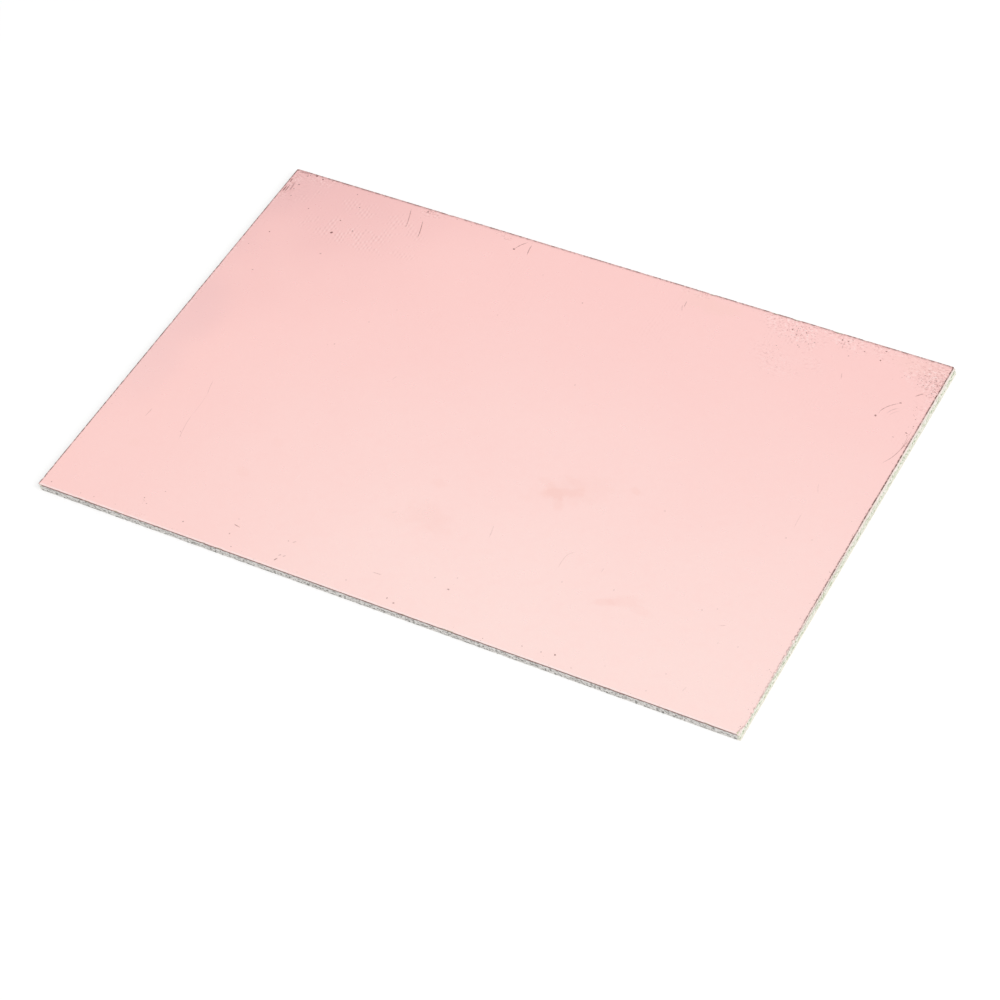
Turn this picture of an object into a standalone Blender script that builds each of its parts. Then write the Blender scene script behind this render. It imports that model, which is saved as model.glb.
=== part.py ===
# A blank of single-sided copper clad board lying copper side up: a stiff sheet of woven-glass
# epoxy with thin copper foil bonded over its upper face.
# The long sides are cut square. The two short ends are sheared, so both cuts lean the same way:
# the end at +X reaches further out at the underside than at the foil, the end at -X is undercut.
# Each sheared end also has one bruised edge, the upper one at +X and the lower one at -X.
# Metres. X runs along the long sides, Y across the board, and the bare underside lies at Z = 0.

import math

import bpy
import bmesh

# the whole board
BOARD_LENGTH = 0.150
BOARD_WIDTH = 0.100
BOARD_THICKNESS = 0.0016
CORNER_RADIUS = 0.0003
CORNER_STEPS = 4

# layers
FOIL_THICKNESS = 0.000035
BOND_LINE = 0.00001
SHEET_THICKNESS = BOARD_THICKNESS - FOIL_THICKNESS - BOND_LINE

# the sheared ends
CUT_LEAN = 0.00025
BRUISE_WIDTH = 0.00035
BRUISE_DEPTH = 0.0002

COPPER_COLOR = (0.960, 0.620, 0.570, 1.0)
LAMINATE_COLOR = (0.660, 0.690, 0.500, 1.0)


def plain_material(name, color, roughness, metallic):
    material = bpy.data.materials.new(name)
    material.use_nodes = True
    shader = material.node_tree.nodes["Principled BSDF"]
    shader.inputs["Base Color"].default_value = color
    shader.inputs["Roughness"].default_value = roughness
    shader.inputs["Metallic"].default_value = metallic
    material.diffuse_color = color
    return material


def rounded_outline(left, right):
    """Plan of the board between two ends, anticlockwise from above, with its corners eased."""
    side = BOARD_WIDTH / 2 - CORNER_RADIUS
    centres = [
        (right - CORNER_RADIUS, side),
        (left + CORNER_RADIUS, side),
        (left + CORNER_RADIUS, -side),
        (right - CORNER_RADIUS, -side),
    ]
    outline = []
    for quarter, (x, y) in enumerate(centres):
        for step in range(CORNER_STEPS + 1):
            angle = math.pi / 2 * (quarter + step / CORNER_STEPS)
            outline.append((x + CORNER_RADIUS * math.cos(angle), y + CORNER_RADIUS * math.sin(angle)))
    return outline


def loft(name, levels, material):
    """A closed solid through rounded plans, given as (height, left end, right end) from the bottom."""
    bm = bmesh.new()
    rings = []
    for height, left, right in levels:
        rings.append([bm.verts.new((x, y, height)) for x, y in rounded_outline(left, right)])
    bm.faces.new(rings[0][::-1])
    for lower, upper in zip(rings, rings[1:]):
        for i in range(len(lower)):
            j = (i + 1) % len(lower)
            bm.faces.new((lower[i], lower[j], upper[j], upper[i]))
    bm.faces.new(rings[-1])
    mesh = bpy.data.meshes.new(name)
    bm.to_mesh(mesh)
    bm.free()
    mesh.materials.append(material)
    piece = bpy.data.objects.new(name, mesh)
    bpy.context.collection.objects.link(piece)
    return piece


def end_inset(height):
    """How far the undercut end of the sheet stands back from its upper edge, at a height."""
    if height < BRUISE_DEPTH:
        return CUT_LEAN + BRUISE_WIDTH * (1 - height / BRUISE_DEPTH)
    return CUT_LEAN * (SHEET_THICKNESS - height) / (SHEET_THICKNESS - BRUISE_DEPTH)


def laminate_core(material):
    """The glass-epoxy sheet. Its other end is the same cut turned upside down."""
    levels = []
    for height in (0.0, BRUISE_DEPTH, SHEET_THICKNESS - BRUISE_DEPTH, SHEET_THICKNESS):
        left = -BOARD_LENGTH / 2 + end_inset(height)
        right = BOARD_LENGTH / 2 - end_inset(SHEET_THICKNESS - height)
        levels.append((height, left, right))
    return loft("laminate_core", levels, material)


def copper_foil(material):
    """The foil covers the sheet's whole upper face and stops where the upper bruised edge starts."""
    left = -BOARD_LENGTH / 2
    right = BOARD_LENGTH / 2 - end_inset(0.0)
    foil = loft("copper_foil", [(0.0, left, right), (FOIL_THICKNESS, left, right)], material)
    foil.location.z = SHEET_THICKNESS + BOND_LINE
    return foil


def main():
    for old in list(bpy.data.objects):
        bpy.data.objects.remove(old, do_unlink=True)

    laminate_core(plain_material("glass_epoxy", LAMINATE_COLOR, roughness=0.55, metallic=0.0))
    copper_foil(plain_material("copper", COPPER_COLOR, roughness=0.35, metallic=1.0))


main()
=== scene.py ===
# Looks of the copper clad board: the foil with its worn rim and every mark on its face, the
# glass-epoxy sheet with its four rough cut faces and its woven underside, a pale floor and soft light.
# The board's lengths are in millimetres up to its meshes. Meshes, camera, floor and lamp are in
# metres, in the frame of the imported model.

import math
import random

import bpy
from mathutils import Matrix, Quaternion, Vector, noise

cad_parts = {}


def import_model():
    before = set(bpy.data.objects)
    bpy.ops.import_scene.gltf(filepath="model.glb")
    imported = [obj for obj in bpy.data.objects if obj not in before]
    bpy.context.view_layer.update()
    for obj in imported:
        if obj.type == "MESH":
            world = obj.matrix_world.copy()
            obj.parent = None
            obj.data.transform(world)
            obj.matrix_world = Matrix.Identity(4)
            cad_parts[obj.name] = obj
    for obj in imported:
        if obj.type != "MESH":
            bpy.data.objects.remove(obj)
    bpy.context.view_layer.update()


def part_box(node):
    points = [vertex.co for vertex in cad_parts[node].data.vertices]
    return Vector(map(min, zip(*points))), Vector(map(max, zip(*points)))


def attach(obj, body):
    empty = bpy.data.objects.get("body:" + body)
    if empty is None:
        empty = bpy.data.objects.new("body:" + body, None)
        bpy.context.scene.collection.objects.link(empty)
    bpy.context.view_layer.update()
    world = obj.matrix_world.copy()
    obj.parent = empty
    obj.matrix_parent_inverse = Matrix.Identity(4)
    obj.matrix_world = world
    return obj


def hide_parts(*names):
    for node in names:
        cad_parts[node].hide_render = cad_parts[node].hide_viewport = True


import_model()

MM = 0.001

# the sheet and the foil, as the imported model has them
SHEET_LOW, SHEET_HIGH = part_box("laminate_core")
FOIL_LOW, FOIL_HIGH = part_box("copper_foil")
SHEET_LEFT, SHEET_RIGHT = SHEET_LOW.x / MM, SHEET_HIGH.x / MM
SHEET_TOP = SHEET_HIGH.z / MM
FOIL_LEFT, FOIL_RIGHT = FOIL_LOW.x / MM, FOIL_HIGH.x / MM
FOIL_BOTTOM, FOIL_TOP = FOIL_LOW.z / MM, FOIL_HIGH.z / MM
HALF_WIDTH = SHEET_HIGH.y / MM

# the eased corners of both, and how many steps go round one
CORNER_RADIUS = 0.3
CORNER_STEPS = 5

# the sheared ends: how far the cut leans, and the bruised edge
CUT_LEAN = 0.25
BRUISE_WIDTH = 0.35
BRUISE_DEPTH = 0.2
BRUISE_SLOPE = BRUISE_DEPTH / BRUISE_WIDTH

# the foil's face lies this much under the model's, so that marks can stand on it inside the model
MARK_ROOM = 0.003
FACE = FOIL_TOP - MARK_ROOM

# glass cloth: spacing of the yarns along X and along Y, and the thickness of one ply
YARN_PITCH_X = 0.763
YARN_PITCH_Y = 0.575
PLY = 0.194

# camera, found from the outline of the board in the photograph: place and aim in metres, roll in
# degrees, lens and sensor in mm
CAMERA_PLACE = Vector((0.223982, -0.352244, 0.429601))
CAMERA_AIM = Vector((0.009496, -0.017268, 0.0016))
CAMERA_ROLL = -6.4147
LENS = 110.601
SENSOR = 36.0

# side of the photograph in pixels
IMAGE = 1000


def camera_turn():
    aimed = (CAMERA_AIM - CAMERA_PLACE).to_track_quat("-Z", "Y")
    return aimed @ Quaternion((0, 0, 1), math.radians(CAMERA_ROLL))


def on_face(pixel):
    """Where the camera's ray through a pixel of the photograph meets the copper face, in mm."""
    across = (pixel[0] / IMAGE - 0.5) * SENSOR / LENS
    upward = (0.5 - pixel[1] / IMAGE) * SENSOR / LENS
    ray = camera_turn() @ Vector((across, upward, -1.0))
    hit = CAMERA_PLACE + ray * ((FACE * MM - CAMERA_PLACE.z) / ray.z)
    return Vector((hit.x / MM, hit.y / MM))


def add_object(name, data):
    made = bpy.data.objects.new(name, data)
    bpy.context.collection.objects.link(made)
    return made


def add_piece(name, points, faces, materials, node=None):
    """A smooth mesh piece from points in mm, on the root body."""
    mesh = bpy.data.meshes.new(name)
    mesh.from_pydata([(x * MM, y * MM, z * MM) for x, y, z in points], [], faces)
    for material in materials:
        mesh.materials.append(material)
    mesh.shade_smooth()
    piece = add_object(name, mesh)
    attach(piece, "root")
    if node:
        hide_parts(node)
    return piece


def set_values(piece, name, values):
    """Gives each point of a piece a value that its material reads by this name."""
    layer = piece.data.attributes.new(name, "FLOAT", "POINT")
    layer.data.foreach_set("value", values)


class Plan:
    """Rounded rectangles with the same columns round them, so that rings of any size join up."""

    def __init__(self, cells_x, cells_y, columns):
        self.cells_x, self.cells_y, self.columns = cells_x, cells_y, columns
        self.along_x, self.along_y = cells_x * columns, cells_y * columns
        self.size = 2 * (self.along_x + self.along_y + 2 * CORNER_STEPS)

    def ring(self, left, right, half):
        """(x, y, outward x, outward y) of every column, anticlockwise from the right side's near end."""
        r = CORNER_RADIUS
        corners = [(right - r, half - r), (left + r, half - r), (left + r, r - half), (right - r, r - half)]
        ring = []
        for quarter, (x, y) in enumerate(corners):
            last_x, last_y = corners[quarter - 1]
            steps = self.along_y if quarter % 2 == 0 else self.along_x
            out_x, out_y = round(math.cos(math.pi / 2 * quarter)), round(math.sin(math.pi / 2 * quarter))
            for step in range(steps):
                t = step / steps
                along_x, along_y = last_x + (x - last_x) * t, last_y + (y - last_y) * t
                ring.append((along_x + r * out_x, along_y + r * out_y, out_x, out_y))
            for step in range(CORNER_STEPS):
                turn = math.pi / 2 * (quarter + step / CORNER_STEPS)
                out_x, out_y = math.cos(turn), math.sin(turn)
                ring.append((x + r * out_x, y + r * out_y, out_x, out_y))
        return ring

    def walls(self, ring_count):
        """Faces that join each ring to the next one up."""
        faces = []
        for level in range(ring_count - 1):
            base = level * self.size
            for i in range(self.size):
                j = (i + 1) % self.size
                faces.append((base + i, base + j, base + self.size + j, base + self.size + i))
        return faces

    def cap(self, points, first, left, right, half, z, upward):
        """Closes the ring that starts at point `first` with a grid; adds points and returns faces."""
        r = CORNER_RADIUS
        grid = len(points)
        for row in range(self.cells_y + 1):
            y = (r - half) + 2 * (half - r) * row / self.cells_y
            for column in range(self.cells_x + 1):
                x = left + r + (right - left - 2 * r) * column / self.cells_x
                points.append((x, y, z))
        wide = self.cells_x + 1

        def at(column, row):
            return grid + row * wide + column

        faces = []
        for row in range(self.cells_y):
            for column in range(self.cells_x):
                low, high = at(column, row), at(column, row + 1)
                faces.append((low, low + 1, high + 1, high))
        sides = [
            [at(self.cells_x, row) for row in range(self.cells_y + 1)],
            [at(column, self.cells_y) for column in reversed(range(self.cells_x + 1))],
            [at(0, row) for row in reversed(range(self.cells_y + 1))],
            [at(column, 0) for column in range(self.cells_x + 1)],
        ]
        start = 0
        for side in sides:
            for here, ahead in zip(side, side[1:]):
                outer = [first + (start + k) % self.size for k in range(self.columns + 1)]
                faces.append((*outer, ahead, here))
                start += self.columns
            arc = [first + (start + k) % self.size for k in range(CORNER_STEPS + 1)]
            faces.append((*arc, side[-1]))
            start += CORNER_STEPS
        if upward:
            return faces
        return [face[::-1] for face in faces]


def smooth(value, low, high):
    """0 at low and 1 at high, with a soft start and end."""
    t = min(max((value - low) / (high - low), 0.0), 1.0)
    return t * t * (3 - 2 * t)


def wave(x, y, z=0.0):
    """Smooth noise about zero."""
    return noise.noise(Vector((x, y, z)))


class Nodes:
    """Short calls that add nodes to a tree. A value is a number, a tuple or another node's output."""

    def __init__(self, tree):
        self.tree = tree

    def add(self, kind, inputs, **settings):
        node = self.tree.nodes.new(kind)
        for key, value in settings.items():
            setattr(node, key, value)
        for key, value in inputs.items():
            self.feed(node.inputs[key], value)
        return node

    def feed(self, socket, value):
        if isinstance(value, bpy.types.NodeSocket):
            self.tree.links.new(value, socket)
        else:
            socket.default_value = value

    def millimetres(self):
        place = self.add("ShaderNodeTexCoord", {}).outputs["Object"]
        return self.add("ShaderNodeVectorMath", {0: place, "Scale": 1 / MM}, operation="SCALE").outputs[0]

    def split(self, vector):
        return self.add("ShaderNodeSeparateXYZ", {0: vector}).outputs

    def join(self, x, y, z):
        return self.add("ShaderNodeCombineXYZ", {0: x, 1: y, 2: z}).outputs[0]

    def calc(self, operation, *values):
        inputs = dict(enumerate(values))
        return self.add("ShaderNodeMath", inputs, operation=operation).outputs[0]

    def scaled(self, vector, scale):
        return self.add("ShaderNodeVectorMath", {0: vector, 1: scale}, operation="MULTIPLY").outputs[0]

    def shifted(self, vector, offset):
        return self.add("ShaderNodeVectorMath", {0: vector, 1: offset}, operation="ADD").outputs[0]

    def length(self, vector):
        return self.add("ShaderNodeVectorMath", {0: vector}, operation="LENGTH").outputs["Value"]

    def cloud(self, vector, scale, detail=3.0, roughness=0.55):
        inputs = {"Vector": vector, "Scale": scale, "Detail": detail, "Roughness": roughness}
        return self.add("ShaderNodeTexNoise", inputs).outputs[0]

    def attribute(self, name):
        return self.add("ShaderNodeAttribute", {}, attribute_name=name).outputs["Fac"]

    def step(self, value, low, high, start=0.0, end=1.0):
        inputs = {"Value": value, "From Min": low, "From Max": high, "To Min": start, "To Max": end}
        return self.add("ShaderNodeMapRange", inputs, interpolation_type="SMOOTHSTEP").outputs[0]

    def blend(self, factor, first, second):
        return self.add("ShaderNodeMix", {0: factor, 6: first, 7: second}, data_type="RGBA").outputs[2]

    def relief(self, height, depth, normal=None):
        inputs = {"Height": height, "Distance": depth * MM, "Strength": 1.0}
        if normal is not None:
            inputs["Normal"] = normal
        return self.add("ShaderNodeBump", inputs).outputs[0]

    def yarns(self, vector):
        """Place on the glass cloth, counted in yarns along X and along Y."""
        x, y, _ = self.split(vector)
        return self.calc("DIVIDE", x, YARN_PITCH_X), self.calc("DIVIDE", y, YARN_PITCH_Y)

    def weave(self, vector):
        """Height of plain-woven glass cloth, 0 to 1."""
        u, v = self.yarns(vector)
        over = []
        for across, along, sign in ((u, v, 0.5), (v, u, -0.5)):
            centred = self.calc("SUBTRACT", self.calc("FRACT", across), 0.5)
            bulge = self.calc("SUBTRACT", 1.0, self.calc("MULTIPLY", self.calc("POWER", centred, 2.0), 4.0))
            phase = self.calc("MULTIPLY", self.calc("ADD", along, self.calc("FLOOR", across)), math.pi)
            lift = self.calc("ADD", self.calc("MULTIPLY", self.calc("SINE", phase), sign), 0.5)
            over.append(self.calc("MULTIPLY", bulge, lift))
        return self.calc("MAXIMUM", *over)

    def print_through(self, vector):
        """How plain-woven cloth shows through a skin as painted shade and highlight, -1 to 1, in rows along
        yarns and over the knuckles that a side light picks out.
        """
        u, v = self.yarns(vector)
        rows = self.calc("SINE", self.calc("MULTIPLY", u, 2 * math.pi))
        knuckles = self.calc("SINE", self.calc("MULTIPLY", self.calc("ADD", u, v), math.pi))
        return self.calc("ADD", self.calc("MULTIPLY", rows, 0.68), self.calc("MULTIPLY", knuckles, 0.32))

    def seen(self):
        """1 for rays from the camera, straight or by way of a mirror or glass, and 0 for the rest."""
        path = self.add("ShaderNodeLightPath", {}).outputs
        mirrored = self.calc("MAXIMUM", path["Is Glossy Ray"], path["Is Transmission Ray"])
        return self.calc("MAXIMUM", path["Is Camera Ray"], mirrored)


class Shader(Nodes):
    """The nodes of a new material."""

    def __init__(self, name):
        self.material = bpy.data.materials.new(name)
        self.material.use_nodes = True
        super().__init__(self.material.node_tree)
        self.principled = self.tree.nodes["Principled BSDF"]

    def finish(self, color, roughness, normal, metallic=0.0):
        self.feed(self.principled.inputs["Base Color"], color)
        self.feed(self.principled.inputs["Roughness"], roughness)
        self.feed(self.principled.inputs["Normal"], normal)
        self.principled.inputs["Metallic"].default_value = metallic
        return self.material


# dull patches on the copper face: two ends in pixels of the photograph, half width in mm, strength
STAINS = (
    ((551, 493), (579, 493), 1.2, 0.46),
    ((545, 482), (560, 496), 0.9, 0.28),
    ((570, 477), (581, 488), 0.9, 0.22),
    ((558, 495), (558, 507), 1.0, 0.30),
    ((548, 493), (600, 489), 3.4, 0.22),
    ((422, 514), (436, 524), 3.0, 0.25),
    ((388, 513), (401, 521), 1.5, 0.12),
    ((437, 481), (441, 483), 1.2, 0.22),
    ((635, 490), (637, 492), 0.8, 0.40),
    ((595, 602), (613, 602), 1.0, 0.34),
    ((618, 601), (632, 602), 1.5, 0.24),
    ((636, 609), (646, 614), 1.1, 0.18),
    ((277, 442), (279, 443), 1.0, 0.14),
    ((242, 470), (244, 472), 1.1, 0.26),
    ((134, 442), (137, 443), 1.0, 0.26),
    ((692, 299), (728, 311), 2.2, 0.42),
    ((908, 363), (942, 374), 2.4, 0.36),
)

# patches where the cloth under the foil shows through most, as painted shade and highlight, in the same way
CLOTH_PATCHES = (
    ((318, 222), (390, 246), 3.6, 1.0),
    ((352, 205), (372, 214), 2.4, 0.8),
    ((398, 222), (412, 236), 2.6, 0.7),
    ((296, 200), (322, 192), 1.6, 0.5),
    ((928, 380), (938, 392), 2.5, 0.6),
    ((780, 338), (805, 345), 2.2, 0.4),
)

# patches rubbed to a fine grain of dark points and bright ones, these fresh metal with a painted glint, in
# the same way
GRAINY_PATCHES = (
    ((778, 320), (812, 338), 3.0, 0.9),
    ((842, 338), (858, 346), 2.2, 0.7),
    ((766, 350), (782, 368), 3.0, 0.4),
    ((806, 355), (816, 370), 2.0, 0.3),
    ((880, 350), (890, 360), 1.6, 0.5),
    ((762, 311), (948, 368), 1.1, 0.6),
    ((927, 376), (944, 386), 3.6, 1.0),
    ((917, 420), (940, 385), 1.0, 0.6),
    ((423, 212), (442, 216), 1.3, 0.7),
    ((318, 180), (332, 184), 1.6, 0.5),
    ((286, 190), (300, 172), 1.6, 0.7),
    ((684, 289), (712, 297), 1.0, 0.5),
    ((498, 232), (510, 240), 1.0, 0.5),
    ((60, 455), (280, 194), 0.8, 0.4),
    ((130, 511), (142, 516), 0.9, 0.4),
)

# a patch is full up to one share of its half width and gone at the other
PATCH_FULL, PATCH_GONE = 0.5, 1.4

# colours of the clean foil: lit at the near edge, and deeper towards the far edge, the left end and its far
# corner, which is painted shade for the fall of light across the face with some tarnish; dulled along that
# end, and in the mottling
LIT_FOIL = (0.985, 0.741, 0.700, 1.0)
FAR_SHADED_TARNISH = (0.972, 0.622, 0.598, 1.0)
LEFT_SHADED_TARNISH = (0.965, 0.592, 0.565, 1.0)
DULLED_FOIL = (0.750, 0.540, 0.560, 1.0)
CORNER_SHADED_TARNISH = (0.800, 0.472, 0.470, 1.0)
MOTTLED_FOIL = (0.93, 0.60, 0.565, 1.0)

# colours of the foil's grain and wear with painted glints, of the painted shade and highlight of the cloth
# that shows through it, and of the painted shade and highlight of its rim
GRAIN = (0.88, 0.55, 0.51, 1.0)
STAIN = (0.938, 0.616, 0.566, 1.0)
SCUFF = (0.52, 0.26, 0.23, 1.0)
DULL_POINT = (0.55, 0.27, 0.26, 1.0)
FRESH_GLINT_POINT = (1.0, 0.80, 0.78, 1.0)
CLOTH_HOLLOW_SHADE = (0.60, 0.33, 0.32, 1.0)
CLOTH_CREST_HIGHLIGHT = (1.0, 0.78, 0.76, 1.0)
RIM_SHADE_AND_TARNISH = (0.110, 0.042, 0.034, 1.0)
RIM_HIGHLIGHT = (0.96, 0.86, 0.84, 1.0)

# colours of scratches and specks: dark, which in a scratch's furrow is painted shade, and bright, which is
# fresh metal with a painted glint
DARK_SPECK_AND_GROOVE_SHADE = (0.210, 0.078, 0.070, 1.0)
FRESH_METAL_GLINT = (1.0, 0.84, 0.81, 1.0)


def soft_patches(s, place, ragged, patches):
    """Soft ellipses with ragged borders on the copper face, added up."""
    total = 0.0
    for start, end, width, strength in patches:
        start, end = on_face(start), on_face(end)
        middle, reach = (start + end) / 2, (end - start) / 2
        turn = math.atan2(reach.y, reach.x)
        inputs = {"Vector": s.shifted(place, (-middle.x, -middle.y, -FACE)), "Angle": -turn}
        turned = s.add("ShaderNodeVectorRotate", inputs, rotation_type="Z_AXIS").outputs[0]
        away = s.length(s.scaled(turned, (1 / (reach.length + width), 1 / width, 0.0)))
        patch = s.step(s.calc("ADD", away, ragged), PATCH_GONE, PATCH_FULL, 0.0, strength)
        total = s.calc("ADD", patch, total)
    return total


def foil_tone(s, place):
    """Colour of the clean foil: pale where it is lit, a deeper pink of painted shade with some tarnish
    towards the far edge and the left end, and dulled along that end.
    """
    x, y, _ = s.split(place)
    drift = s.step(s.cloud(place, 0.035, detail=2.0), 0.2, 0.8, -5.0, 5.0)
    far = s.calc("ADD", y, drift)
    left = s.calc("SUBTRACT", drift, x)
    # painted shade across the face, with some tarnish: lit at the near edge, deeper towards the far edge,
    # the left end and its far corner
    color = s.blend(s.step(far, -60.0, 60.0), LIT_FOIL, FAR_SHADED_TARNISH)
    color = s.blend(s.step(left, -30.0, 95.0, 0.0, 0.76), color, LEFT_SHADED_TARNISH)
    dulled = s.calc("MULTIPLY", s.step(left, 66.0, 76.0, 0.0, 0.22), s.step(y, -40.0, -10.0))
    color = s.blend(dulled, color, DULLED_FOIL)
    corner = s.calc("ADD", far, s.calc("MULTIPLY", left, 0.9))
    color = s.blend(s.step(corner, 52.0, 118.0, 0.0, 0.54), color, CORNER_SHADED_TARNISH)
    mottle = s.cloud(place, 0.45, detail=4.0, roughness=0.6)
    return s.blend(s.step(mottle, 0.40, 0.75, 0.0, 0.10), color, MOTTLED_FOIL), mottle


def worn_color(s, place, ragged, color):
    """The foil's dull stains, the scuffs in its two far corners and its patches of fine grain, with painted
    glints on fresh metal.
    """
    x, y, _ = s.split(place)
    stained = s.calc("MINIMUM", soft_patches(s, place, ragged, STAINS), 0.8)
    color = s.blend(stained, color, STAIN)
    ends = s.step(s.calc("ABSOLUTE", x), 66.0, 75.5)
    worn = s.calc("MULTIPLY", ends, s.step(s.calc("ADD", y, s.calc("MULTIPLY", ragged, 12.0)), 34.0, 50.0))
    scuffs = s.cloud(s.scaled(place, (1.0, 2.2, 1.0)), 1.1, detail=3.0, roughness=0.75)
    scuffed = s.calc("MULTIPLY", worn, s.step(scuffs, 0.48, 0.60))
    color = s.blend(s.calc("MULTIPLY", scuffed, 0.30), color, SCUFF)
    rubbed = s.calc("MINIMUM", soft_patches(s, place, ragged, GRAINY_PATCHES), 1.0)
    points = s.cloud(s.scaled(place, (0.8, 1.1, 1.0)), 2.3, detail=2.0, roughness=0.7)
    dull = s.calc("MULTIPLY", rubbed, s.step(points, 0.55, 0.68, 0.0, 0.55))
    color = s.blend(dull, color, DULL_POINT)
    # bright points: fresh metal with a painted glint
    glint = s.calc("MULTIPLY", rubbed, s.step(points, 0.46, 0.34, 0.0, 0.70))
    return s.blend(glint, color, FRESH_GLINT_POINT)


def cloth_color(s, place, bent, ragged, color):
    """The cloth under the foil, painted as shade in its hollows and highlight on its crests, in patches and
    faintly over the far half.
    """
    _, y, _ = s.split(place)
    faint = s.step(s.cloud(place, 0.09, detail=2.0), 0.50, 0.70, 0.0, 0.25)
    faint = s.calc("MULTIPLY", faint, s.step(y, -10.0, 50.0))
    shown = s.calc("MINIMUM", s.calc("ADD", soft_patches(s, place, ragged, CLOTH_PATCHES), faint), 1.0)
    shown = s.calc("MULTIPLY", shown, s.step(s.cloud(place, 0.45, detail=3.0), 0.44, 0.56, 0.08, 1.1))
    printed = s.print_through(bent)
    # painted shade in the cloth's hollows and painted highlight on its crests
    hollow_shade = s.calc("MULTIPLY", shown, s.step(printed, -0.1, -0.9))
    color = s.blend(s.calc("MULTIPLY", hollow_shade, 0.25), color, CLOTH_HOLLOW_SHADE)
    crest_highlight = s.calc("MULTIPLY", shown, s.step(printed, 0.1, 0.9))
    return s.blend(s.calc("MULTIPLY", crest_highlight, 0.30), color, CLOTH_CREST_HIGHLIGHT)


def copper_material():
    """Bright satin foil, lit and with painted shade across it, with stains and scuffs, the cloth underneath
    just showing in painted shade and highlight, and a rim with painted shade and highlight.
    """
    s = Shader("copper")
    place = s.millimetres()
    color, mottle = foil_tone(s, place)
    grain = s.cloud(place, 5.0, detail=2.0, roughness=0.7)
    color = s.blend(s.step(grain, 0.45, 0.80, 0.0, 0.07), color, GRAIN)
    ragged = s.step(s.cloud(place, 0.5, detail=4.0, roughness=0.65), 0.2, 0.8, -0.40, 0.40)
    color = worn_color(s, place, ragged, color)
    bent = s.shifted(place, s.cloud(place, 0.3))
    color = cloth_color(s, place, bent, ragged, color)

    # the rim is painted dark in broken dashes, shade with some tarnish on the burr the shear dragged over,
    # and pale with a painted highlight on the near edge's rounded rim
    dashes = s.cloud(place, 1.6, detail=3.0, roughness=0.7)
    dark = s.calc("MULTIPLY", s.attribute("rim"), s.step(dashes, 0.36, 0.60, 0.35, 1.20))
    color = s.blend(dark, color, RIM_SHADE_AND_TARNISH)
    color = s.blend(s.calc("MULTIPLY", dark, -1.0), color, RIM_HIGHLIGHT)

    # the satin comes from fine streaks along X, the grain and the cloth's faint relief
    fine = s.cloud(s.scaled(place, (0.25, 2.5, 1.0)), 2.2, detail=3.0)
    rough = s.calc("ADD", s.step(mottle, 0.3, 0.7, 0.29, 0.37), s.step(fine, 0.3, 0.7, -0.03, 0.04))
    rough = s.calc("ADD", rough, s.calc("MULTIPLY", dark, 0.15))
    normal = s.relief(s.weave(bent), 0.0012)
    normal = s.relief(grain, 0.0015, normal)
    normal = s.relief(fine, 0.0010, normal)
    return s.finish(color, rough, normal, metallic=1.0)


def mark_material():
    """Scratches and specks: dark where the attribute `depth` is high, which in a scratch's furrow is
    painted shade, and bright foil with a painted glint where it is negative.
    """
    s = Shader("copper_mark")
    place = s.millimetres()
    color, _ = foil_tone(s, place)
    broken = s.step(s.cloud(place, 2.4, detail=2.0, roughness=0.7), 0.30, 0.62, 0.55, 1.15)
    depth = s.calc("MULTIPLY", s.attribute("depth"), broken)
    # dark: painted shade in scratch furrows and the dark of specks; bright: fresh metal with a painted
    # glint
    color = s.blend(depth, color, DARK_SPECK_AND_GROOVE_SHADE)
    color = s.blend(s.calc("MULTIPLY", depth, -1.0), color, FRESH_METAL_GLINT)
    grain = s.cloud(place, 9.0, detail=2.0)
    rough = s.calc("ADD", s.step(grain, 0.3, 0.7, 0.30, 0.40), s.calc("MULTIPLY", depth, 0.18))
    return s.finish(color, rough, s.relief(grain, 0.0015), metallic=1.0)


# colours of the cut faces: glass crushed in a bruise or broken off, the painted shadow line under a bruise,
# and copper and resin smeared down from the foil together with painted shade under its edge
BRUISED_GLASS = (0.91, 0.76, 0.725, 1.0)
BROKEN_GLASS = (0.96, 0.90, 0.80, 1.0)
BRUISE_SHADOW_LINE = (0.30, 0.22, 0.18, 1.0)
END_SMEAR_AND_SHADE = (0.30, 0.17, 0.15, 1.0)
LONG_SMEAR_AND_SHADE = (0.25, 0.120, 0.105, 1.0)

# how far the yarn ends of a ply stand beside those of the ply below, as a share of their spacing
YARN_STAGGER = 0.37


def yarn_ends(s, along, level, pitch):
    """How much the cut end of a yarn fills a place of the cut. Some ends stand out and some don't."""
    ply = s.calc("FLOOR", level)
    across = s.calc("SUBTRACT", s.calc("FRACT", level), 0.5)
    shifted = s.calc("ADD", s.calc("DIVIDE", along, pitch), s.calc("MULTIPLY", ply, YARN_STAGGER))
    cell = s.join(s.calc("FLOOR", shifted), ply, 0.0)
    luck = s.add("ShaderNodeTexWhiteNoise", {"Vector": cell}, noise_dimensions="2D").outputs["Value"]
    beside = s.calc("SUBTRACT", s.calc("FRACT", shifted), 0.5)
    wide = s.calc("POWER", s.calc("MULTIPLY", beside, 1.9), 2.0)
    tall = s.calc("POWER", s.calc("MULTIPLY", across, 2.2), 2.0)
    end = s.step(s.calc("ADD", wide, tall), 1.0, 0.55)
    return s.calc("MULTIPLY", end, s.step(luck, 0.1, 0.9, 0.10, 1.0))


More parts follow.
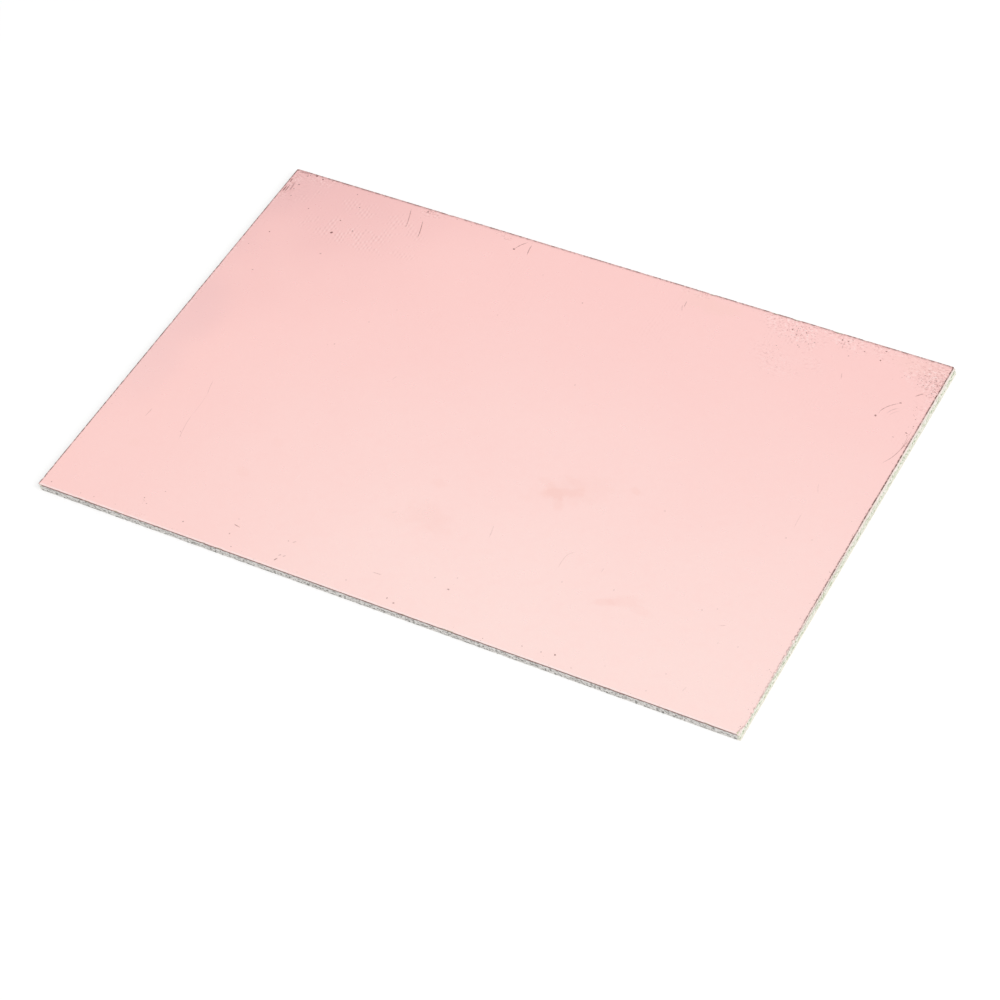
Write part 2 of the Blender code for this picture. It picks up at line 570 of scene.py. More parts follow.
def sheared_color(s, place, ragged, color):
    """The shear crushed a pale bruise, cut the next part cleanly and broke the last part off white; a
    painted shadow line runs under the bruise, and smeared copper with painted shade under the foil.
    """
    x, y, z = s.split(place)
    right = s.calc("GREATER_THAN", x, 0.0)
    deep = s.calc("ABSOLUTE", s.calc("SUBTRACT", z, s.calc("MULTIPLY", right, SHEET_TOP)))
    deep = s.calc("ADD", deep, ragged)
    color = s.blend(s.step(deep, 0.34, 0.14, 0.0, 0.80), color, BRUISED_GLASS)
    color = s.blend(s.step(deep, 1.00, 1.28, 0.0, 0.85), color, BROKEN_GLASS)
    # a painted shadow line along the crease under the bruise
    bruise_shadow_band = s.calc("MULTIPLY", s.step(deep, 0.08, 0.18), s.step(deep, 0.32, 0.22))
    stretch = s.calc("MULTIPLY", s.step(y, 2.0, -8.0), s.step(y, -50.0, -36.0))
    line = s.calc("MULTIPLY", bruise_shadow_band, s.calc("MULTIPLY", stretch, right))
    color = s.blend(s.calc("MULTIPLY", line, 0.40), color, BRUISE_SHADOW_LINE)
    under_foil = s.calc("SUBTRACT", SHEET_TOP, z)
    # copper smeared down, with painted shade under the foil's edge
    smear_and_shade = s.calc("MULTIPLY", s.step(under_foil, 0.06, 0.02), s.step(y, -28.0, -8.0))
    return s.blend(s.calc("MULTIPLY", smear_and_shade, 0.60), color, END_SMEAR_AND_SHADE)


def torn_color(s, place, ragged, color, streak):
    """The upper plies are torn whiter, and a dark line of resin and copper is dragged over them, with
    painted shade under the foil's edge.
    """
    x, _, z = s.split(place)
    under_foil = s.calc("SUBTRACT", SHEET_TOP, z)
    color = s.blend(s.step(under_foil, 1.1, 0.6, 0.0, 0.16), color, streak)
    # resin and copper dragged down, with painted shade under the foil's edge
    smear_and_shade = s.step(s.calc("ADD", under_foil, ragged), 0.36, 0.20, 0.0, 0.90)
    smear_and_shade = s.calc("MULTIPLY", smear_and_shade, s.step(x, 74.6, 72.6, 0.40, 1.0))
    return s.blend(smear_and_shade, color, LONG_SMEAR_AND_SHADE)


def cut_material(name, pitch, resin, glass, dark, streak, sheared):
    """A cut edge of the glass-epoxy: plies of yarn, some running along the cut and some cut through.

    The cut is lighter where its glass is bare, darker where resin or dirt fills it, and darker still with
    painted shade in its pits.
    """
    s = Shader(name)
    place = s.millimetres()
    x, y, z = s.split(place)
    along = s.calc("ADD", x, y)
    edge = s.join(along, 0.0, z)
    wander = s.cloud(s.scaled(edge, (0.4, 1.0, 1.0)), 1.0, detail=2.0)
    level = s.calc("ADD", s.calc("DIVIDE", z, PLY), s.calc("MULTIPLY", wander, 1.2))
    ends = yarn_ends(s, along, level, pitch)

    stretch = s.cloud(s.scaled(edge, (0.6, 1.0, 2.4)), 1.0, detail=2.0)
    fibres = s.cloud(s.scaled(edge, (0.7, 1.0, 7.0)), 1.0, detail=3.0, roughness=0.65)
    crumbs = s.cloud(s.scaled(edge, (1.0, 1.0, 1.3)), 1.9, detail=3.0, roughness=0.7)
    color = s.blend(s.step(stretch, 0.44, 0.55), resin, glass)
    color = s.blend(s.step(fibres, 0.48, 0.58, 0.0, 0.60), color, streak)
    color = s.blend(s.calc("MULTIPLY", ends, 0.45), color, streak)
    color = s.blend(s.step(crumbs, 0.52, 0.62, 0.0, 0.95), color, dark)
    color = s.blend(s.step(crumbs, 0.46, 0.38, 0.0, 0.88), color, streak)
    ragged = s.step(s.cloud(edge, 1.3, detail=3.0), 0.2, 0.8, -0.10, 0.10)
    if sheared:
        color = sheared_color(s, place, ragged, color)
    else:
        color = torn_color(s, place, ragged, color, streak)
    # painted shade in the pits of the cut, darker the deeper they are
    color = s.blend(s.calc("MULTIPLY", s.attribute("pit"), 0.6), color, dark)

    height = s.calc("ADD", s.calc("MULTIPLY", ends, 0.5), s.calc("ADD", fibres, crumbs))
    return s.finish(color, s.step(crumbs, 0.3, 0.7, 0.55, 0.8), s.relief(height, 0.018))


# colours of the sheet's bare face: resin, the two uppermost layers of cloth in it, and specks
DEEP_RESIN = (0.50, 0.54, 0.27, 1.0)
PALE_RESIN = (0.61, 0.64, 0.37, 1.0)
LOWER_CLOTH = (0.74, 0.77, 0.56, 1.0)
UPPER_CLOTH = (0.84, 0.86, 0.70, 1.0)
RESIN_SPECK = (0.42, 0.40, 0.22, 1.0)

# where the lower layer of cloth lies beside the upper one, in mm
LOWER_CLOTH_SHIFT = (0.31, 0.22, 0.0)


def face_material():
    """The bare face of the sheet: a thin clear skin of resin over glass cloth that shows through it."""
    s = Shader("glass_epoxy_face")
    place = s.millimetres()
    bent = s.shifted(place, s.cloud(place, 0.25))
    cloth = s.weave(bent)
    below = s.weave(s.shifted(bent, LOWER_CLOTH_SHIFT))
    clouds = s.cloud(place, 0.06, detail=3.0)
    color = s.blend(s.step(clouds, 0.35, 0.65), DEEP_RESIN, PALE_RESIN)
    color = s.blend(s.step(below, 0.2, 0.9, 0.0, 0.35), color, LOWER_CLOTH)
    color = s.blend(s.step(cloth, 0.25, 0.85, 0.0, 0.70), color, UPPER_CLOTH)
    specks = s.cloud(place, 1.7, detail=2.0, roughness=0.8)
    color = s.blend(s.step(specks, 0.70, 0.78, 0.0, 0.6), color, RESIN_SPECK)
    scuff = s.cloud(s.scaled(place, (0.3, 1.6, 1.0)), 0.8, detail=4.0, roughness=0.7)
    rough = s.step(scuff, 0.35, 0.70, 0.30, 0.48)
    normal = s.relief(cloth, 0.006)
    normal = s.relief(s.cloud(place, 0.5, detail=2.0), 0.010, normal)
    return s.finish(color, rough, normal)


# how the foil's rim rounds over: distance in from the edge, and height
RIM_PROFILE = (
    (0.020, FOIL_BOTTOM),
    (0.000, FOIL_BOTTOM + 0.008),
    (0.000, FACE - 0.013),
    (0.012, FACE - 0.007),
    (0.035, FACE - 0.0025),
    (0.070, FACE - 0.0008),
    (0.120, FACE),
    (0.180, FACE),
    (0.250, FACE),
    (0.350, FACE),
    (0.500, FACE),
    (0.800, FACE),
)

# how far in from the edge its ragged line still shapes the foil
RETREAT_REACH = 0.7


def rim_retreat(x, y, out_x):
    """How far the foil's edge stands back from its nominal line at a point of it, in mm.

    The whole edge is a little ragged, with a nick here and there. At the right end it is torn,
    dragged out over the bruise in the near half, and worn away at the near corner.
    """
    retreat = 0.012 + 0.012 * wave(x * 1.3, y * 1.3, 3.0)
    retreat += 0.5 * max(0.0, wave(x * 0.55, y * 0.55, 8.0) - 0.42)
    torn = 0.05 * smooth(abs(y - 8.0), 6.0, 2.0) - 0.06 * smooth(y, 5.0, -5.0) - 0.01
    torn += 0.07 * wave(y * 0.45, 1.0) + 0.06 * wave(y * 2.3, 5.0)
    torn += (0.03 + 0.05 * smooth(y, -10.0, -25.0)) * wave(y * 5.0, 6.0)
    torn += 0.22 * smooth(y, -18.0, -26.0) * wave(y * 1.6, 9.0)
    dragged = 0.05 * smooth(y, -17.0, -25.0) + 0.18 * smooth(y, -32.0, -46.0)
    worn = 0.58 * smooth(y, -47.4, -49.8)
    return retreat + smooth(out_x, 0.3, 0.9) * (torn - dragged + worn)


def rim_tone(inset, y, out_x, out_y):
    """How much painted shade with some tarnish darkens the foil near its edge, or how much a painted
    highlight pales it where this is below zero.

    The line turns thin and faint towards the right end's near corner. The near edge carries a pale
    painted highlight on its rounded rim behind a thin line.
    """
    right, left = max(out_x, 0.0), max(-out_x, 0.0)
    far, near = max(out_y, 0.0), max(-out_y, 0.0)
    frayed = right * smooth(y, -6.0, -34.0)
    width = 0.36 * right - 0.08 * frayed + 0.60 * far + 0.34 * left + 0.06 * near
    strength = 1 - 0.55 * frayed - 0.35 * near - 0.36 * far
    # a painted highlight along the near edge's rounded rim
    highlight = 0.6 * near * smooth(inset, 0.03, 0.10) * smooth(inset, 0.55, 0.25)
    return strength * (1 - smooth(inset, 0.02 + 0.10 * far, width)) - highlight


def copper_face(copper):
    plan = Plan(cells_x=100, cells_y=66, columns=12)
    nominal = plan.ring(FOIL_LEFT, FOIL_RIGHT, HALF_WIDTH)
    retreats = [rim_retreat(x, y, out_x) for x, y, out_x, _ in nominal]
    points, rim = [], []
    for inset, height in RIM_PROFILE:
        share = 1 - smooth(inset, 0.0, RETREAT_REACH)
        ring = plan.ring(FOIL_LEFT + inset, FOIL_RIGHT - inset, HALF_WIDTH - inset)
        for (x, y, out_x, out_y), retreat in zip(ring, retreats):
            x -= out_x * retreat * share
            y -= out_y * retreat * share
            # foil that was dragged out over the bruise bends down with it
            drop = max(0.0, x - FOIL_RIGHT) * BRUISE_SLOPE
            points.append((x, y, height - drop))
            rim.append(rim_tone(inset, y, out_x, out_y))
    faces = plan.walls(len(RIM_PROFILE))
    top = len(points) - plan.size
    for first, (inset, height), upward in ((top, RIM_PROFILE[-1], True), (0, RIM_PROFILE[0], False)):
        left, right, half = FOIL_LEFT + inset, FOIL_RIGHT - inset, HALF_WIDTH - inset
        faces += plan.cap(points, first, left, right, half, height, upward)
    rim += [0.0] * (len(points) - len(rim))
    piece = add_piece("copper_face", points, faces, [copper], node="copper_foil")
    set_values(piece, "rim", rim)


def end_inset(height):
    """How far the undercut end of the sheet stands back from its upper edge, at a height."""
    if height < BRUISE_DEPTH:
        return CUT_LEAN + BRUISE_WIDTH * (1 - height / BRUISE_DEPTH)
    return CUT_LEAN * (SHEET_TOP - height) / (SHEET_TOP - BRUISE_DEPTH)


def cut_pit(along, height, sheared):
    """How deep the torn surface of a cut lies under its nominal plane, in mm."""
    rough = 0.014 * (1 + wave(along * 1.1, height * 6.0, 2.0))
    yarn = 0.016 * (1 + wave(along * 2.6, height * 9.0, 7.0))
    seam = 0.012 * (1 + math.cos(2 * math.pi * height / PLY)) * (1 + wave(along * 0.6, height * 2.0, 4.0))
    chipped = max(0.0, wave(along * 0.9, round(height / SHEET_TOP) * 9.0, 12.0) - 0.25)
    chips = 0.22 * chipped * smooth(min(height, SHEET_TOP - height), 0.22, 0.0)
    coarseness = 1.3 if sheared else 0.9
    return (rough + yarn + seam) * coarseness + chips


# the sheet's rings: levels of a cut face from bottom to top, and two borders on each flat face
SHEET_LEVELS = 17
OUTER_BORDER = 0.15
INNER_BORDER = 0.6
FLAT_RINGS = 4

# the sheet's materials, in the order of its slots
LONG_CUT, END_CUT, FLAT_FACE = range(3)

# wall faces this close to an end's outermost line belong to its cut, unless they lie flat
END_ZONE = 0.75
FLAT_TILT = 0.95

# painted shade in a pit begins at the first depth and is darkest at the second, in mm
PIT_DEPTHS = (0.05, 0.13)


def sheet_ends(height, inset=0.0):
    """Left and right end of the sheet at a height."""
    left = SHEET_LEFT + end_inset(height) + inset
    right = SHEET_RIGHT - end_inset(SHEET_TOP - height) - inset
    return left, right


def glass_epoxy_sheet(materials):
    plan = Plan(cells_x=94, cells_y=62, columns=10)
    points, pit_shades = [], []

    def flat_ring(height, inset):
        for x, y, _, _ in plan.ring(*sheet_ends(height, inset), HALF_WIDTH - inset):
            points.append((x, y, height))
            pit_shades.append(0.0)

    flat_ring(0.0, INNER_BORDER)
    flat_ring(0.0, OUTER_BORDER)
    for level in range(SHEET_LEVELS):
        height = SHEET_TOP * level / (SHEET_LEVELS - 1)
        for x, y, out_x, out_y in plan.ring(*sheet_ends(height), HALF_WIDTH):
            # the last two terms take each side to a stretch of noise of its own
            along = x * abs(out_y) + y * abs(out_x) + 7.0 * out_x + 3.0 * out_y
            pit = cut_pit(along, height, sheared=abs(out_x) > 0.7)
            points.append((x - out_x * pit, y - out_y * pit, height))
            pit_shades.append(smooth(pit, *PIT_DEPTHS))
    flat_ring(SHEET_TOP, OUTER_BORDER)
    flat_ring(SHEET_TOP, INNER_BORDER)
    faces = plan.walls(SHEET_LEVELS + FLAT_RINGS)
    wall_faces = len(faces)
    top_ring = len(points) - plan.size
    for first, height, upward in ((0, 0.0, False), (top_ring, SHEET_TOP, True)):
        left, right = sheet_ends(height, INNER_BORDER)
        faces += plan.cap(points, first, left, right, HALF_WIDTH - INNER_BORDER, height, upward)
    pit_shades += [0.0] * (len(points) - len(pit_shades))
    piece = add_piece(
        "glass_epoxy_sheet", points, faces, materials, node="laminate_core"
    )
    set_values(piece, "pit", pit_shades)
    for polygon in piece.data.polygons:
        flat = polygon.index >= wall_faces or abs(polygon.normal.z) > FLAT_TILT
        at_end = abs(polygon.center.x / MM) > SHEET_RIGHT - END_ZONE
        polygon.material_index = FLAT_FACE if flat else END_CUT if at_end else LONG_CUT


# scratches on the copper face: how dark, width in mm, and a polyline in pixels of the photograph
SCRATCHES = (
    (0.80, 0.22, ((411.5, 208.5), (409, 218), (406, 227))),
    (1.00, 0.24, ((423, 220.5), (420.5, 230), (417.5, 238))),
    (0.88, 0.22, ((514, 249), (521, 245), (528, 242.5))),
    (0.83, 0.24, ((532, 245), (529, 250), (527, 255))),
    (0.60, 0.22, ((687, 301), (685.5, 304), (683.8, 307.5))),
    (0.45, 0.20, ((682.5, 305), (682, 308), (682, 311.3))),
    (0.77, 0.22, ((878, 413.5), (882, 409.5), (889, 406), (900, 403))),
    (0.50, 0.18, ((887, 413), (892, 410), (899, 408))),
    (0.26, 0.18, ((889, 415), (894, 412.5), (900, 411))),
    (0.74, 0.20, ((881.5, 463.5), (893, 456.5), (903, 447), (910, 437))),
    (0.54, 0.16, ((895, 455.5), (903, 446), (908.5, 435.5))),
    (0.42, 0.16, ((903, 447), (909, 441), (913, 434))),
    (0.20, 0.20, ((802.5, 512.5), (798, 520), (794, 528))),
    (0.26, 0.20, ((213.5, 380), (210, 387), (207, 395))),
    (0.12, 0.18, ((208, 393), (200, 405), (191, 416))),
    (0.26, 0.20, ((192, 415), (186, 424), (178, 440))),
    (0.34, 0.24, ((152.5, 408), (149, 412), (145, 416))),
    (0.20, 0.22, ((392, 380), (397, 376))),
    (-0.35, 0.22, ((303, 472), (298, 477), (293, 483))),
    (0.28, 0.24, ((494, 525), (491.5, 532), (489, 538))),
    (0.26, 0.22, ((576, 552), (568, 554.5), (562, 561), (558, 568))),
    (0.15, 0.26, ((604, 568), (601, 572.5))),
    (0.43, 0.24, ((372.5, 572), (382, 575))),
    (0.74, 0.26, ((234, 524), (240, 527.5))),
    (0.36, 0.24, ((842, 373), (841, 379))),
    (0.20, 0.24, ((686.7, 686.7), (681.7, 691.7))),
    (0.15, 0.40, ((397, 511.5), (392, 512.5))),
    (0.75, 0.40, ((273.5, 560.3), (277.5, 558))),
    (0.60, 0.36, ((278, 555.5), (281.5, 554.5))),
    (0.55, 0.34, ((282.5, 556.5), (286, 555.5))),
    (0.60, 0.36, ((292.5, 542.5), (296.5, 541.5))),
    (0.25, 0.30, ((719, 625.5), (726, 625.5))),
    (0.14, 0.26, ((819, 483), (818, 488), (818, 494))),
    (1.00, 0.44, ((282.5, 191), (285, 188), (287.5, 185))),
    (1.00, 0.38, ((284.5, 191.5), (287, 188.5), (290, 185))),
    (0.50, 0.60, ((289, 190.5), (292, 187), (295, 182))),
    (0.70, 0.60, ((290, 182), (292.5, 178.5))),
    (0.64, 0.60, ((299.5, 172), (304, 172.5), (311, 174))),
    (0.58, 0.40, ((915, 396.5), (921, 394.5), (924, 394))),
)

# single specks: place in pixels of the photograph, how dark, and size in mm
SPECKS = (
    ((308.5, 208.5), 1.0, 0.48),
    ((340.5, 220.5), 1.0, 0.50),
    ((331.5, 232.5), 0.95, 0.78),
    ((269.5, 231.5), 0.9, 0.38),
    ((248.5, 243.5), 0.5, 0.34),
    ((320.5, 253.5), 0.45, 0.50),
    ((252.5, 269.5), 0.6, 0.45),
    ((357.5, 194.5), 0.5, 0.50),
    ((359.5, 207.5), 1.0, 0.36),
    ((352.5, 231), 0.9, 0.42),
    ((299, 184.5), 1.0, 0.40),
    ((317, 176.5), 1.0, 0.52),
    ((323, 179.5), 1.0, 0.50),
    ((291, 195.5), 0.8, 0.40),
    ((334.5, 344), 0.45, 0.40),
    ((406, 226), 0.6, 0.40),
    ((428, 212), 0.8, 0.55),
    ((504, 236), 0.6, 0.40),
    ((582.5, 303), 0.5, 0.44),
    ((792.5, 329.5), 0.75, 0.44),
    ((799, 347), 0.4, 0.40),
    ((806.5, 333), 0.9, 0.44),
    ((814.5, 342.5), 0.6, 0.44),
    ((923.5, 385.5), 0.5, 0.44),
    ((808.5, 344), 0.45, 0.40),
    ((864.5, 351.5), 0.8, 0.44),
    ((880.5, 360.5), 0.75, 0.42),
    ((886.5, 351.5), 0.85, 0.56),
    ((842.5, 340), 1.0, 0.50),
    ((848.5, 341.5), 0.7, 0.54),
    ((848.5, 356), 0.5, 0.40),
    ((514, 249), 1.0, 0.64),
    ((875.5, 415.5), 0.75, 0.60),
    ((900.5, 403), 1.0, 0.62),
    ((893, 437), 0.5, 0.44),
    ((906, 433), 1.0, 0.40),
    ((913.5, 426.5), 0.5, 0.42),
    ((51.5, 481.5), 0.5, 0.40),
    ((144.5, 497.5), 0.7, 0.42),
    ((146.5, 503.5), 0.5, 0.40),
    ((165.5, 491.5), 0.4, 0.34),
    ((183, 521.5), 0.85, 0.42),
    ((229.5, 533.5), 0.35, 0.50),
    ((231, 546.5), 0.6, 0.40),
    ((288.5, 541), 0.5, 0.40),
    ((387, 598), 0.7, 0.48),
    ((448.5, 589.5), 0.6, 0.44),
    ((393.5, 603), 0.65, 0.52),
    ((522, 646), 0.55, 0.42),
    ((541, 652), 0.8, 0.36),
    ((555, 655), 0.85, 0.50),
    ((614, 590), 0.3, 0.40),
    ((562, 582), 0.3, 0.40),
    ((665, 511), 0.15, 0.50),
)

# barely visible specks, each about as large, in pixels of the photograph
FAINT_SPECKS = (
    (369, 322), (397, 310), (646, 690.8), (497.5, 315), (575, 385), (543, 275), (435, 577.5), (457.5, 578),
    (702, 610), (717.5, 609), (718, 643), (738, 647), (605, 666), (666, 674), (786, 538), (812, 540),
    (94, 496.5), (180.5, 431.5), (180.5, 436), (239, 519), (571, 668), (346, 580), (319, 192), (777, 367),
)

# what every faint speck has: size in mm, and how dark
FAINT_SIZE = 0.38
FAINT_TONE = 0.28

# specks in clusters: middle and half extent in pixels, how many, and the largest size in mm
CLUSTERS = (
    ((797, 333), (17, 9), 130, 0.32),
    ((771, 355), (12, 14), 60, 0.18),
    ((933, 382), (15, 9), 190, 0.27),
    ((937, 389), (8, 10), 110, 0.30),
    ((905, 377), (9, 4), 12, 0.30),
    ((291, 185), (5, 6), 12, 0.36),
    ((848, 346), (14, 7), 36, 0.32),
    ((308, 175), (9, 2), 10, 0.36),
    ((429, 212.5), (4, 2), 9, 0.50),
    ((438, 216), (5, 2), 7, 0.35),
    ((328, 345), (7, 2), 6, 0.24),
    ((144, 500), (3, 5), 6, 0.34),
    ((451, 588), (5, 4), 8, 0.34),
    ((909, 432), (5, 5), 14, 0.34),
    ((915, 414), (5, 9), 22, 0.31),
)

# how the specks of a cluster spread, as a share of its half extent
CLUSTER_SPREAD = 0.6

# grains along the worn edges: side, how many, and how far in from the edge they start, in mm
EDGE_GRAINS = (
    ("far", 240, 0.30),
    ("right", 170, 0.35),
    ("left", 80, 0.30),
    ("near", 50, 0.30),
)

# how far in from there they lie on average and at most
GRAIN_DEPTH = 0.5
GRAIN_REACH = 3.0

# no grain or speck of a cluster lies closer than this to the foil's nominal edge
EDGE_MARGIN = 0.25


def along_curve(corners, spacing):
    """Points of a smooth curve through the corners, about evenly spaced."""
    ends = [corners[0] * 2 - corners[1], *corners, corners[-1] * 2 - corners[-2]]
    points = []
    for a, b, c, d in zip(ends, ends[1:], ends[2:], ends[3:]):
        steps = max(2, round((c - b).length / spacing))
        for step in range(steps):
            t = step / steps
            bend, twist = a * 2 - b * 5 + c * 4 - d, b * 3 - a - c * 3 + d
            points.append((b * 2 + (c - a) * t + bend * t**2 + twist * t**3) / 2)
    points.append(corners[-1])
    return points


# section of a scratch: place across its half width, height over the face in mm, and darkness, which is
# painted shade in the groove
FURROW = (
    (-1, -0.0006, 0.0),
    (-0.6, 0.0022, 0.35),
    (0, 0.0004, 1.0),
    (0.6, 0.0022, 0.35),
    (1, -0.0006, 0.0),
)

# section of a speck: share of its reach, height over the face in mm, and darkness
SPECK_RINGS = (
    (1.0, -0.0006, 0.45),
    (0.6, 0.0015, 1.0),
)

# a scratch: distance between its points in mm, the share of its length over which it widens from
# each tip, and how wide a tip is as a share of the full width
SCRATCH_STEP = 0.12
TIP_SHARE = 0.25
TIP_WIDTH = 0.08


def on_foil(place):
    inside = FOIL_LEFT + EDGE_MARGIN < place.x < FOIL_RIGHT - EDGE_MARGIN
    return inside and abs(place.y) < HALF_WIDTH - EDGE_MARGIN


class Marks:
    """One mesh of all the marks on the copper face."""

    def __init__(self):
        self.points, self.faces, self.depth = [], [], []
        self.rng = random.Random(7)

    def scratch(self, corners, width, tone):
        """A ploughed groove along a curve: a furrow darkened with painted shade between two raised lips,
        tapering out.
        """
        curve = along_curve(corners, SCRATCH_STEP)
        first = len(self.points)
        last = len(curve) - 1
        for i, point in enumerate(curve):
            ahead = (curve[min(i + 1, last)] - curve[max(i - 1, 0)]).normalized()
            side = Vector((-ahead.y, ahead.x))
            from_tip = min(i, last - i) / last
            taper = TIP_WIDTH + (1 - TIP_WIDTH) * min(1.0, from_tip / TIP_SHARE)
            half = width / 2 * taper * (1 + 0.35 * wave(point.x * 3, point.y * 3, 5.0))
            for across, height, depth in FURROW:
                spot = point + side * half * across
                self.points.append((spot.x, spot.y, FACE + height * (taper if height > 0 else 1)))
                self.depth.append(depth * tone)
        row = len(FURROW)
        for i in range(last):
            for k in range(row - 1):
                a = first + i * row + k
                self.faces.append((a + 1, a + row + 1, a + row, a))

    def speck(self, place, size, tone):
        """A small pit or grain of an irregular outline, a little raised towards its middle."""
        sides = 7 if size < 0.25 else 10
        first = len(self.points)
        turn, squeeze = self.rng.uniform(0, math.pi), self.rng.uniform(0.55, 1.0)
        for share, height, depth in SPECK_RINGS:
            for i in range(sides):
                angle = 2 * math.pi * i / sides
                reach = size / 2 * share * self.rng.uniform(0.75, 1.1)
                x, y = reach * math.cos(angle), reach * math.sin(angle) * squeeze
                self.points.append((
                    place.x + x * math.cos(turn) - y * math.sin(turn),
                    place.y + x * math.sin(turn) + y * math.cos(turn),
                    FACE + height,
                ))
                self.depth.append(depth * tone)
        for i in range(sides):
            j = (i + 1) % sides
            self.faces.append((first + i, first + j, first + sides + j, first + sides + i))
        self.faces.append(tuple(range(first + sides, first + 2 * sides)))

    def cluster(self, middle, extent, count, largest):
        """Specks of mixed sizes scattered about a pixel of the photograph."""
        made = 0
        while made < count:
            across = self.rng.gauss(middle[0], extent[0] * CLUSTER_SPREAD)
            down = self.rng.gauss(middle[1], extent[1] * CLUSTER_SPREAD)
            place = on_face((across, down))
            if on_foil(place):
                self.speck(place, largest * self.rng.uniform(0.3, 1.0), self.rng.uniform(-0.4, 1.0))
                made += 1

    def edge_grains(self, side, count, start):
        """Grains along one edge of the foil, thinning out inwards."""
        for _ in range(count):
            inward = min(self.rng.expovariate(1 / GRAIN_DEPTH), GRAIN_REACH)
            along = self.rng.uniform(-1.0, 1.0)
            if side in ("far", "near"):
                x = (FOIL_LEFT + FOIL_RIGHT) / 2 + along * (FOIL_RIGHT - FOIL_LEFT) / 2
                y = (HALF_WIDTH - start - inward) * (1 if side == "far" else -1)
            else:
                x = FOIL_RIGHT - start - inward if side == "right" else FOIL_LEFT + start + inward
                y = along * HALF_WIDTH
            place = Vector((x, y))
            if on_foil(place):
                self.speck(place, self.rng.uniform(0.08, 0.26), self.rng.uniform(-0.4, 0.9))


def face_marks(material):
    marks = Marks()
    for tone, width, line in SCRATCHES:
        marks.scratch([on_face(pixel) for pixel in line], width, tone)
    for pixel, tone, size in SPECKS:
        marks.speck(on_face(pixel), size, tone)
    for pixel in FAINT_SPECKS:
        marks.speck(on_face(pixel), FAINT_SIZE, FAINT_TONE)
    for cluster in CLUSTERS:
        marks.cluster(*cluster)
    for grains in EDGE_GRAINS:
        marks.edge_grains(*grains)
    piece = add_piece("copper_marks", marks.points, marks.faces, [material])
    set_values(piece, "depth", marks.depth)


WHITE = (1.0, 1.0, 1.0, 1.0)

# the floor, in metres: half its side, how far it lies under the board, and how far in from the
# outline of the board's underside its opening starts
FLOOR_HALF = 4.0
FLOOR_GAP = 0.02 * MM
OPENING_INSET = 0.1 * MM

# the floor's greys: what other surfaces see, and what the shadow falls on
FLOOR_PLAIN = (0.80, 0.80, 0.80, 1.0)
FLOOR_SHADED = (0.62, 0.62, 0.62, 1.0)

# the floor's glow rises from one strength to the other between two distances from the middle, in mm
GLOW_START, GLOW_END = 200.0, 800.0
GLOW_NEAR, GLOW_FAR = 0.48, 1.0

# the strength of the light from the sky, which the camera sees as white
SKY_LIGHT = 0.62


def floor_material():
    """White to the camera apart from the soft shadow, plain to other surfaces, clear from below."""
    s = Shader("floor")
    plain = s.add("ShaderNodeBsdfDiffuse", {"Color": FLOOR_PLAIN}).outputs[0]
    shade = s.add("ShaderNodeBsdfDiffuse", {"Color": FLOOR_SHADED}).outputs[0]
    strength = s.step(s.length(s.millimetres()), GLOW_START, GLOW_END, GLOW_NEAR, GLOW_FAR)
    glow = s.add("ShaderNodeEmission", {"Color": WHITE, "Strength": strength}).outputs[0]
    white = s.add("ShaderNodeAddShader", {0: shade, 1: glow}).outputs[0]
    lit = s.add("ShaderNodeMixShader", {0: s.seen(), 1: plain, 2: white}).outputs[0]
    clear = s.add("ShaderNodeBsdfTransparent", {}).outputs[0]
    facing = s.add("ShaderNodeNewGeometry", {}).outputs["Backfacing"]
    surface = s.add("ShaderNodeMixShader", {0: facing, 1: lit, 2: clear}).outputs[0]
    s.feed(s.tree.nodes["Material Output"].inputs["Surface"], surface)
    s.tree.nodes.remove(s.principled)
    return s.material


def floor():
    """A wide pale floor. It is open under the board, so that light reaches the underside."""
    opening_left = SHEET_LOW.x + end_inset(0.0) * MM + OPENING_INSET
    opening_right = SHEET_HIGH.x - OPENING_INSET
    opening_half = SHEET_HIGH.y - OPENING_INSET
    points = []
    for left, right, half in (
        (-FLOOR_HALF, FLOOR_HALF, FLOOR_HALF),
        (opening_left, opening_right, opening_half),
    ):
        points += [(left, -half, 0), (right, -half, 0), (right, half, 0), (left, half, 0)]
    mesh = bpy.data.meshes.new("floor")
    mesh.from_pydata(points, [], [(i, (i + 1) % 4, 4 + (i + 1) % 4, 4 + i) for i in range(4)])
    mesh.materials.append(floor_material())
    made = add_object("floor", mesh)
    made.location.z = -FLOOR_GAP


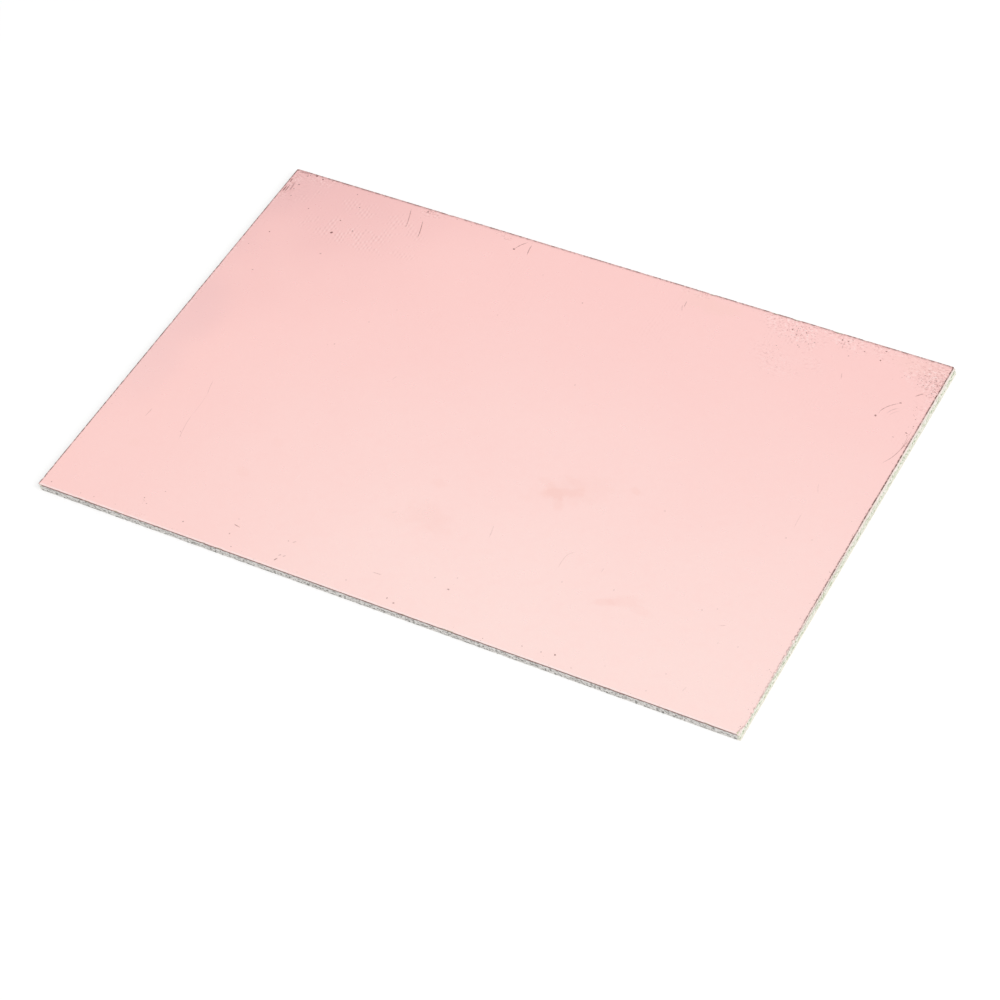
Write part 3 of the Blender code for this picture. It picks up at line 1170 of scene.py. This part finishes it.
def world():
    """A white sky that lights the board softly from all around."""
    sky = bpy.data.worlds.new("studio")
    bpy.context.scene.world = sky
    sky.use_nodes = True
    s = Nodes(sky.node_tree)
    inputs = {"Value": s.seen(), "To Min": SKY_LIGHT, "To Max": 1.0}
    strength = s.add("ShaderNodeMapRange", inputs).outputs[0]
    background = s.tree.nodes["Background"].inputs
    s.feed(background["Strength"], strength)
    s.feed(background["Color"], WHITE)


def add_turned(name, data, place, turn):
    made = add_object(name, data)
    made.location = place
    made.rotation_mode = "QUATERNION"
    made.rotation_quaternion = turn
    return made


def lamp(name, place, size, power):
    """A square soft lamp that faces the board."""
    light = bpy.data.lights.new(name, "AREA")
    light.shape = "SQUARE"
    light.size = size
    light.energy = power
    add_turned(name, light, place, (-Vector(place)).to_track_quat("-Z", "Y"))


def camera():
    data = bpy.data.cameras.new("camera")
    data.lens = LENS
    data.sensor_width = SENSOR
    data.clip_start = 0.01
    data.clip_end = 50.0
    bpy.context.scene.camera = add_turned("camera", data, CAMERA_PLACE, camera_turn())


def main():
    copper_face(copper_material())
    face_marks(mark_material())
    glass_epoxy_sheet([
        # the long cuts get greyer, darker colours than the ends: partly their own torn look, partly painted
        # shade
        cut_material(
            "glass_epoxy_cut_long_shaded",
            pitch=YARN_PITCH_X,
            resin=(0.45, 0.435, 0.41, 1.0),
            glass=(0.86, 0.83, 0.79, 1.0),
            dark=(0.15, 0.145, 0.13, 1.0),
            streak=(0.99, 0.96, 0.93, 1.0),
            sheared=False,
        ),
        cut_material(
            "glass_epoxy_cut_end",
            pitch=YARN_PITCH_Y,
            resin=(0.60, 0.66, 0.46, 1.0),
            glass=(0.86, 0.84, 0.74, 1.0),
            dark=(0.27, 0.34, 0.18, 1.0),
            streak=(1.0, 0.97, 0.91, 1.0),
            sheared=True,
        ),
        face_material(),
    ])
    floor()
    world()
    lamp("key", place=(0.95, -0.25, 0.95), size=1.0, power=9.0)
    camera()
    bpy.context.scene.view_settings.view_transform = "Standard"


main()
